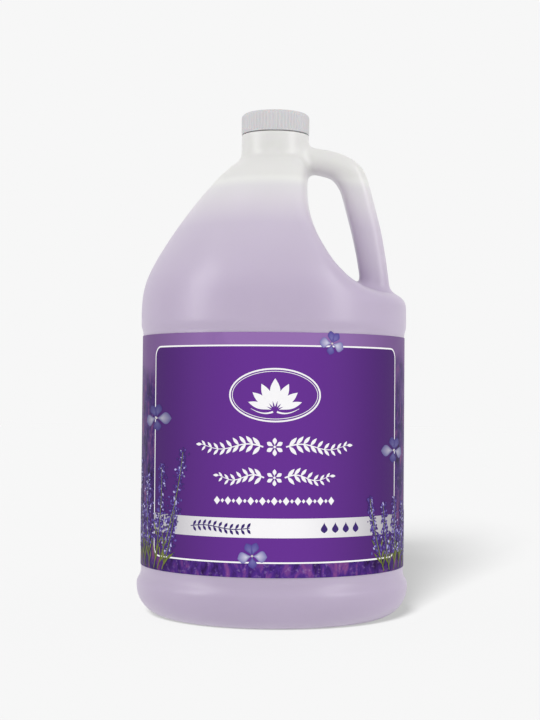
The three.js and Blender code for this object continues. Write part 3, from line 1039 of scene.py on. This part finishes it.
class JUG_OT_label(bpy.types.Operator):
    """Builds the wrap label's film, with its seam at the back"""

    bl_idname = "jug.label"
    bl_label = "Label film"

    def execute(self, context):
        label = context.scene.label_sizes
        outer = LABEL_HIGH.x
        inner = outer - label.film
        seam = 2 * asin(label.seam / 2 / outer)
        bm = bmesh.new()
        heights = list(np.linspace(LABEL_LOW.z, LABEL_HIGH.z, 9))
        outline = [(outer, z) for z in heights] + [(inner, z) for z in reversed(heights)]
        spin_outline(bm, outline, 320, angle=tau - seam, closed=True)
        bmesh.ops.holes_fill(bm, edges=[e for e in bm.edges if e.is_boundary])
        to_front = Matrix.Rotation(pi + seam / 2, 3, "Z")
        bmesh.ops.rotate(bm, verts=bm.verts, cent=(0, 0, 0), matrix=to_front)
        outward(bm)
        film = new_object("label_film", bm)
        film.data.set_sharp_from_angle(angle=radians(40))
        finish_piece(film, film_material(context), "jug", "printed_film", "label")
        return {"FINISHED"}


class JUG_OT_panel(bpy.types.Operator):
    """Prints the framed panel, its frame line and the pale band across it"""

    bl_idname = "jug.panel"
    bl_label = "Label panel"

    def execute(self, context):
        label, finishes = context.scene.label_sizes, context.scene.jug_finishes
        left = label.panel_shift - label.panel_width / 2
        right = label.panel_shift + label.panel_width / 2
        low, high, line = label.panel_low, label.panel_high, label.line
        panel, frame_line, band = bmesh.new(), bmesh.new(), bmesh.new()
        outline = rounded_box(left, low, right, high, label.panel_corner)
        plate(panel, outline)
        inner = rounded_box(left + line, low + line, right - line, high - line, label.panel_corner - line)
        band_between(frame_line, outline, inner)
        foot, top = label.band_low, label.band_high
        plate(band, [(left, foot), (right, foot), (right, top), (left, top)])
        violet = ink_material("violet_ink", finishes.panel, finishes.panel_edge_painted_shade)
        white = ink_material("white_ink", finishes.paper)
        pale = ink_material("band_ink", finishes.paper, finishes.band_edge_painted_shade)
        print_piece("label_panel", panel, PANEL_LIFT, violet)
        print_piece("label_frame_line", frame_line, LINE_LIFT, white)
        print_piece("label_band", band, WHITE_LIFT, pale)
        return {"FINISHED"}


def draw_emblem(bm):
    """A lotus in a double oval ring."""
    centre = (PRINT_MIDDLE, 126.3 * MM)
    width, height = 50 * MM, 29 * MM
    for gap, line in ((0, 0.9 * MM), (1.6 * MM, 0.35 * MM)):
        outer = oval(centre, width - 2 * gap, height - 2 * gap, 72)
        inner = oval(centre, width - 2 * gap - 2 * line, height - 2 * gap - 2 * line, 72)
        band_between(bm, outer, inner)
    foot = (centre[0], centre[1] - 8.4 * MM)
    clear = 2.2
    for lean, size, petal_width in ((0, 17.4, 5.6), (27, 16.2, 4.6), (51, 15.6, 4.2), (72, 15.2, 3.4)):
        for side in (1, -1) if lean else (1,):
            angle = pi / 2 + radians(side * lean)
            start = ahead_of(foot, angle, clear * MM)
            petal = leaf(start, angle, (size - clear) * MM, petal_width * MM, 0.55, 11)
            plate(bm, petal, lean * 0.1 * HAIR)
    for side in (-1, 1):
        handles = ((5, -2.6), (9, -1), (13, 1.2))
        curve = bezier(foot, *((foot[0] + side * x * MM, foot[1] + y * MM) for x, y in handles), 14)
        plate(bm, stroke(curve, 1.0, 0.2), 10 * HAIR)


def draw_garlands(bm):
    """Two leafy garlands, one above the other, and a row of beads under them."""
    draw_branch(bm, (PRINT_MIDDLE, 98.7 * MM), 41 * MM, 6.4 * MM, 9)
    draw_branch(bm, (PRINT_MIDDLE, 82.3 * MM), 30.5 * MM, 5.8 * MM, 7)
    y = 69.8 * MM
    for i in range(-10, 11):
        x = PRINT_MIDDLE + i * 3.15 * MM
        size = 3.6 * MM if i % 2 == 0 else 1.9 * MM
        plate(bm, [(x - size / 2, y), (x, y - size * 0.62), (x + size / 2, y), (x, y + size * 0.62)])


def draw_branch(bm, centre, reach, size, count):
    """A flower between two wavy stems with pairs of leaves."""
    for petal in range(6):
        angle = pi / 6 + petal * pi / 3
        plate(bm, leaf(ahead_of(centre, angle, 0.9 * MM), angle, size * 0.62, size * 0.36, 0.6))
    plate(bm, oval(centre, 1.4 * MM, 1.4 * MM, 12))
    t = np.linspace(0, 1, 30)
    y = centre[1] + 1.5 * MM * np.sin(2.2 * pi * t)
    for side, away in ((-1, pi), (1, 0)):
        x = centre[0] + side * (size * 0.95 + t * (reach - size * 0.95))
        plate(bm, stroke(list(zip(x, y)), 0.8, 0.25), 20 * HAIR)
        for i in range(count):
            share = (i + 0.4) / count
            base = (np.interp(share, t, x), np.interp(share, t, y))
            length = size * (1 - 0.45 * share)
            for lean in (-radians(48), radians(48)):
                plate(bm, leaf(base, away + side * lean, length, length * 0.34), (i + 1) * HAIR)
        plate(bm, leaf((x[-1], y[-1]), away, size * 0.6, size * 0.26))


def draw_band_marks(bm, middle):
    """A small sprig at the band's left and four drops at its right."""
    start, span, count = -47 * MM, 35 * MM, 11
    wave = lambda t: (start + span * t, middle + 0.9 * MM * sin(2 * pi * t))
    plate(bm, stroke([wave(t) for t in np.linspace(0, 1, 24)], 0.5, 0.5), 20 * HAIR)
    for i in range(count):
        for lean in (-radians(55), radians(55)):
            plate(bm, leaf(wave((i + 0.5) / count), lean, 3.6 * MM, 1.5 * MM, 0.55), (i + 1) * HAIR)
    for i in range(4):
        top = (28.5 * MM + i * 6.6 * MM, middle + 3.1 * MM)
        plate(bm, leaf(top, -pi / 2, 5.9 * MM, 4.0 * MM, 0.66, 12))


class JUG_OT_ornaments(bpy.types.Operator):
    """Prints the generic ornaments: a lotus emblem, two garlands, a row of beads and marks on the band"""

    bl_idname = "jug.ornaments"
    bl_label = "Label ornaments"

    def execute(self, context):
        label, finishes = context.scene.label_sizes, context.scene.jug_finishes
        emblem, garlands, marks = bmesh.new(), bmesh.new(), bmesh.new()
        draw_emblem(emblem)
        draw_garlands(garlands)
        draw_band_marks(marks, (label.band_low + label.band_high) / 2)
        white = bpy.data.materials["white_ink"]
        print_piece("label_emblem", emblem, WHITE_LIFT, white)
        print_piece("label_garlands", garlands, WHITE_LIFT, white)
        print_piece("label_band_marks", marks, MARK_LIFT, ink_material("indigo_ink", finishes.indigo))
        return {"FINISHED"}


# Each sprig's foot and tip, how far it bows to its side and how far its florets spread, in millimetres.
SPRIGS = (
    ((-98, 30), (-118, 70), -5, 11),
    ((-92, 30), (-104, 88), -5, 11),
    ((-85, 30), (-88, 80), -4, 10),
    ((-79, 30), (-71, 86), 5, 8),
    ((-75, 30), (-53, 95), 7, 6.5),
    ((-70, 30), (-59, 63), 3, 4.5),
    ((72, 30), (59, 70), -3, 4.2),
    ((78, 30), (71, 66), -2, 5.2),
    ((84, 30), (84, 69), 2, 7),
    ((91, 30), (99, 66), 3, 9),
    ((98, 30), (113, 60), 3, 10),
)
# Each blossom's middle and size in millimetres, its stretch sideways, its turn in degrees and its tone.
BLOSSOMS = (
    (32.4, 154.3, 12.5, 1.0, -14, 0.85),
    (-77.5, 113.2, 14.5, 1.75, 8, 0.55),
    (83.0, 96.2, 14, 1.75, -8, 0.6),
    (-10.6, 40.6, 13.5, 1.0, 4, 0.85),
)
# A floret takes the first inks, of its rim and heart, whose limit is above its random tone.
FLORET_INKS = (
    (0.62, (0.045, 0.02, 0.13), (0.09, 0.045, 0.25)),
    (0.9, (0.08, 0.05, 0.27), (0.19, 0.14, 0.46)),
    (1, (0.3, 0.26, 0.58), (0.62, 0.6, 0.84)),
)


class FlowerDrawing:
    """A drawing of petals, each a hair above the last, with an ink colour on every corner."""

    def __init__(self):
        self.bm = bmesh.new()
        self.ink = self.bm.loops.layers.float_color.new("ink")
        self.level = 0.0

    def petal(self, outline, rim, heart, heart_at=None):
        """A petal as a fan, so that its ink runs from the heart to the rim."""
        self.level = (self.level + 0.0008 * MM) % (0.06 * MM)
        if heart_at is None:
            heart_at = np.mean(outline, axis=0)
        middle = self.bm.verts.new((*heart_at, self.level))
        verts = [self.bm.verts.new((x, y, self.level)) for x, y in outline]
        for k in range(len(verts)):
            face = self.bm.faces.new((middle, verts[k - 1], verts[k]))
            for loop, shade in zip(face.loops, (heart, rim, rim)):
                loop[self.ink] = (*shade, 1)

    def stem(self, curve):
        outline = stroke(curve, 0.75, 0.35)
        count = len(curve)
        for k in range(count - 1):
            quad = [outline[k], outline[k + 1], outline[2 * count - 2 - k], outline[2 * count - 1 - k]]
            for loop in plate(self.bm, quad, self.level).loops:
                loop[self.ink] = (0.17, 0.2, 0.03, 1)

    def sprig(self, rng, base, tip, bend, spread):
        """A bowed stem with six blades at its foot and florets that grow sparser towards its tip."""
        base, tip = np.array(base) * MM, np.array(tip) * MM
        run = tip - base
        side = np.array([run[1], -run[0]]) / np.linalg.norm(run)
        bow = (base + tip) / 2 + side * bend * MM
        steps, blades = 22, 6
        t = np.linspace(0, 1, steps)[:, None]
        curve = (1 - t) ** 2 * base + 2 * (1 - t) * t * bow + t**2 * tip
        self.stem(curve)
        heading = float(np.arctan2(run[1], run[0]))
        for k in range(blades):
            angle = heading + (1 if k % 2 else -1) * rng.uniform(0.25, 0.7)
            blade = leaf(curve[1 + k], angle, rng.uniform(8, 13) * MM, 1.3 * MM)
            shade = rng.uniform(0.7, 1.3)
            self.petal(blade, [c * shade for c in (0.11, 0.14, 0.03)], (0.24, 0.27, 0.06))
        stretch = min(max(spread / 6, 1), 1.7)
        for k in range(blades, steps):
            share = (k - blades) / (steps - blades - 1)
            sparse = k % 2 == 0 and share < 0.7
            wide = spread * (1 - 0.55 * share) * (0.5 if sparse else 1) * MM
            for _ in range(9 if sparse else 24):
                where = curve[k] + np.array([rng.gauss(0, 0.45) * wide, rng.gauss(0, 0.22) * wide])
                size = rng.uniform(1.5, 3.0) * (1 - 0.3 * share) * MM
                tone = rng.random()
                rim, heart = next(inks for limit, *inks in FLORET_INKS if tone < limit)
                floret = leaf((0, 0), rng.uniform(0, tau), size, size * 0.6, 0.6, 5)
                self.petal([(where[0] + stretch * x, where[1] + y) for x, y in floret], rim, heart)

    def blossom(self, x, y, size, wide, turned, tone):
        """A loose floret with two pale side petals, two deep ones above and one below."""
        size = size * MM
        centre = (x * MM, y * MM)
        shades = (0.11, 0.08, 0.36), (0.22, 0.2, 0.5), (0.74, 0.72, 0.88)
        deep, mid, pale = ([tone * channel for channel in shade] for shade in shades)
        for angle, length, width, rim, heart in (
            (112, 0.55, 0.32, deep, mid),
            (68, 0.55, 0.32, deep, mid),
            (-90, 0.5, 0.36, deep, mid),
            (188, 0.6, 0.46, mid, pale),
            (-8, 0.6, 0.46, mid, pale),
        ):
            heading = radians(angle) + radians(turned)
            outline = leaf((0, 0), heading, length * size, width * size, 0.66, 10)
            outline.append(ahead_of((0, 0), heading, 0.38 * size * length))
            *outline, heart_at = [(centre[0] + wide * u, centre[1] + v) for u, v in outline]
            self.petal(outline, rim, heart, heart_at)
        self.petal(oval(centre, 0.1 * size * wide, 0.1 * size, 8), (0.5, 0.42, 0.5), (0.75, 0.7, 0.6))


class JUG_OT_flowers(bpy.types.Operator):
    """Prints the lavender sprigs in the corners and the loose blossoms on the frame"""

    bl_idname = "jug.flowers"
    bl_label = "Label flowers"

    def execute(self, context):
        rng = random.Random(7)
        sprigs, blossoms = FlowerDrawing(), FlowerDrawing()
        for sprig in SPRIGS:
            sprigs.sprig(rng, *sprig)
        for blossom in BLOSSOMS:
            blossoms.blossom(*blossom)
        inks = flower_material()
        print_piece("label_sprigs", sprigs.bm, SPRIG_LIFT, inks, cut=False)
        print_piece("label_blossoms", blossoms.bm, BLOSSOM_LIFT, inks)
        return {"FINISHED"}


# Studio


class JUG_OT_stage(bpy.types.Operator):
    """Sets up the pale floor, the soft studio light and the camera"""

    bl_idname = "jug.stage"
    bl_label = "Studio"

    def execute(self, context):
        studio = context.scene.jug_studio
        add_camera(context, studio)
        add_world(context, studio)
        floor = add_floor()
        shadow = add_light(context, "shadow_light", "SUN", studio.shadow, (-13, 27))
        shadow.data.angle = radians(15)
        link_light(shadow, floor, "INCLUDE")
        for name, azimuth, share in (("left_softbox", -67, 0.85), ("right_softbox", 58, 0.8)):
            box = add_light(context, name, "AREA", studio.softbox * share, (azimuth, 22), 1.3)
            box.data.shape = "RECTANGLE"
            box.data.size = 0.42
            box.data.size_y = 1.2
            box.visible_diffuse = False
        for name, direction, share in (
            ("front_fill", (-12, 38), 1.0),
            ("left_fill", (-75, 15), 0.35),
            ("right_fill", (70, 25), 0.9),
        ):
            fill = add_light(context, name, "SUN", studio.fill * share, direction)
            fill.data.angle = radians(60)
            link_light(fill, floor, "EXCLUDE")
        context.scene.view_settings.view_transform = "Standard"
        context.scene.view_settings.look = "None"
        return {"FINISHED"}


def add_camera(context, studio):
    camera = bpy.data.objects.new("camera", bpy.data.cameras.new("camera"))
    context.scene.collection.objects.link(camera)
    camera.data.lens = studio.lens
    camera.data.sensor_width = 36
    camera.data.clip_start = 0.05
    turn = (
        Matrix.Rotation(studio.yaw, 4, "Z")
        @ Matrix.Rotation(pi / 2 + studio.tilt, 4, "X")
        @ Matrix.Rotation(studio.roll, 4, "Z")
    )
    camera.matrix_world = Matrix.Translation((0, -studio.distance, studio.height)) @ turn
    context.scene.camera = camera


def add_world(context, studio):
    world = bpy.data.worlds.new("studio")
    world.use_nodes = True
    world.node_tree.nodes["Background"].inputs["Color"].default_value = (*studio.background, 1)
    context.scene.world = world


def add_floor():
    """A dark floor that glows evenly, so that little but the soft shadow shows on it."""
    bm = bmesh.new()
    bmesh.ops.create_circle(bm, cap_ends=True, segments=96, radius=6)
    floor = new_object("floor", bm, smooth=False)
    glow = {"Emission_Color": (1, 1, 1, 1), "Emission_Strength": 0.494}
    material = new_material("floor_paper", (0.05, 0.05, 0.05), 0.9, Specular_IOR_Level=0, **glow)[0]
    floor.data.materials.append(material)
    return floor


def add_light(context, name, kind, energy, direction, distance=3):
    """A light that looks at the middle of the jug from an azimuth and an elevation in degrees."""
    light = bpy.data.objects.new(name, bpy.data.lights.new(name, kind))
    azimuth, elevation = (radians(a) for a in direction)
    away = Vector((sin(azimuth) * cos(elevation), -cos(azimuth) * cos(elevation), sin(elevation)))
    middle = Vector((0, 0, 0.15))
    light.location = away * distance + middle
    light.rotation_euler = away.to_track_quat("Z", "Y").to_euler()
    light.data.energy = energy
    light.visible_camera = False
    context.scene.collection.objects.link(light)
    return light


def link_light(light, floor, state):
    """Makes a light fall on the floor alone, or on everything but the floor."""
    receivers = bpy.data.collections.new(light.name + "_receivers")
    receivers.objects.link(floor)
    receivers.collection_objects[0].light_linking.link_state = state
    light.light_linking.receiver_collection = receivers


class JUG_PT_panel(bpy.types.Panel):
    """Lists the jug's pieces and their sizes"""

    bl_idname = "JUG_PT_panel"
    bl_label = "Handle jug"
    bl_space_type = "VIEW_3D"
    bl_region_type = "UI"
    bl_category = "Handle Jug"

    def draw(self, context):
        for operator in OPERATORS:
            self.layout.operator(operator.bl_idname)
        for group in GROUPS:
            settings = getattr(context.scene, group)
            box = self.layout.box()
            box.label(text=settings.bl_rna.description)
            for name in type(settings).__annotations__:
                box.prop(settings, name)


GROUPS = {
    "jug_sizes": JugSizes,
    "cap_sizes": CapSizes,
    "label_sizes": LabelSizes,
    "jug_finishes": Finishes,
    "jug_studio": Studio,
}
OPERATORS = (
    JUG_OT_body,
    JUG_OT_cap,
    JUG_OT_liner,
    JUG_OT_label,
    JUG_OT_panel,
    JUG_OT_ornaments,
    JUG_OT_flowers,
    JUG_OT_stage,
)


def register():
    for cls in (*GROUPS.values(), *OPERATORS, JUG_PT_panel):
        bpy.utils.register_class(cls)
    for name, cls in GROUPS.items():
        setattr(bpy.types.Scene, name, PointerProperty(type=cls))


def unregister():
    for name in GROUPS:
        delattr(bpy.types.Scene, name)
    for cls in (JUG_PT_panel, *reversed(OPERATORS), *reversed(GROUPS.values())):
        bpy.utils.unregister_class(cls)


def main():
    register()
    bpy.ops.jug.body()
    bpy.ops.jug.cap()
    bpy.ops.jug.liner()
    bpy.ops.jug.label()
    bpy.ops.jug.panel()
    bpy.ops.jug.ornaments()
    bpy.ops.jug.flowers()
    bpy.ops.jug.stage()


if __name__ == "__main__":
    main()
